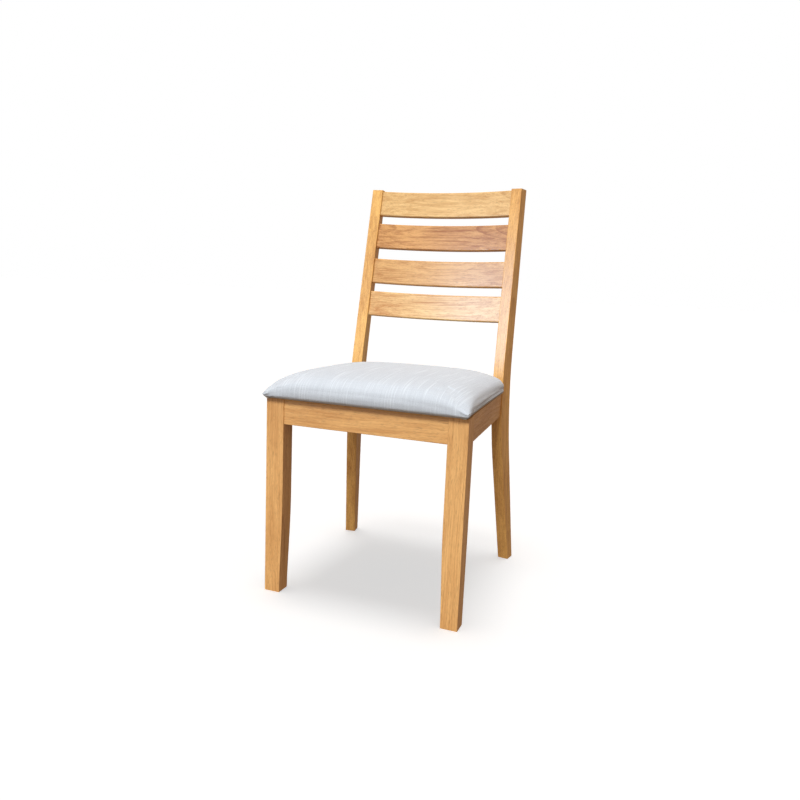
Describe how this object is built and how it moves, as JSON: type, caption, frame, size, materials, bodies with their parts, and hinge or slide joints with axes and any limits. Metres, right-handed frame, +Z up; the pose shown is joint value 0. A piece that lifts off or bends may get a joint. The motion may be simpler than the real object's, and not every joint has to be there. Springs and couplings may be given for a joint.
{
  "type": "dining chair",
  "caption": "Wooden dining chair with swept rear legs, a slatted curved back and an upholstered seat pad.",
  "frame": {"origin": "on the floor, below the middle of the chair's overall box", "axes": "+Z up, the chair faces -Y, +X is the right side for someone who stands in front and looks at the chair"},
  "size_m": [0.4616, 0.5049, 0.91],
  "materials": {
    "frame_wood": "satin lacquer over honey-coloured hardwood",
    "slat_wood": "satin lacquer over honey-coloured hardwood",
    "block_wood": "bare planed hardwood",
    "dowel_wood": "bare beech",
    "plywood": "bare plywood",
    "foam": "open-cell foam",
    "seat_fabric": "slubby plain weave",
    "dust_cloth": "thin non-woven cloth",
    "screw_steel": "zinc plated",
    "staple_steel": "galvanised wire"
  },
  "bodies": {
    "root": {"front_leg_left": "frame_wood", "front_leg_right": "frame_wood", "rear_leg_left": "frame_wood", "rear_leg_right": "frame_wood", "front_apron": "frame_wood", "side_apron_left": "frame_wood", "side_apron_right": "frame_wood", "rear_apron": "frame_wood", "top_slat": "slat_wood", "upper_slat": "slat_wood", "middle_slat": "slat_wood", "lower_slat": "slat_wood", "corner_block_front_left": "block_wood", "corner_block_front_right": "block_wood", "corner_block_rear_left": "block_wood", "corner_block_rear_right": "block_wood", "apron_dowels": "dowel_wood", "block_screws": "screw_steel", "seat_screws": "screw_steel", "seat_board": "plywood", "seat_foam": "foam", "seat_cover": "seat_fabric", "dust_cover": "dust_cloth", "cover_staples": "staple_steel"}
  },
  "joints": []
}
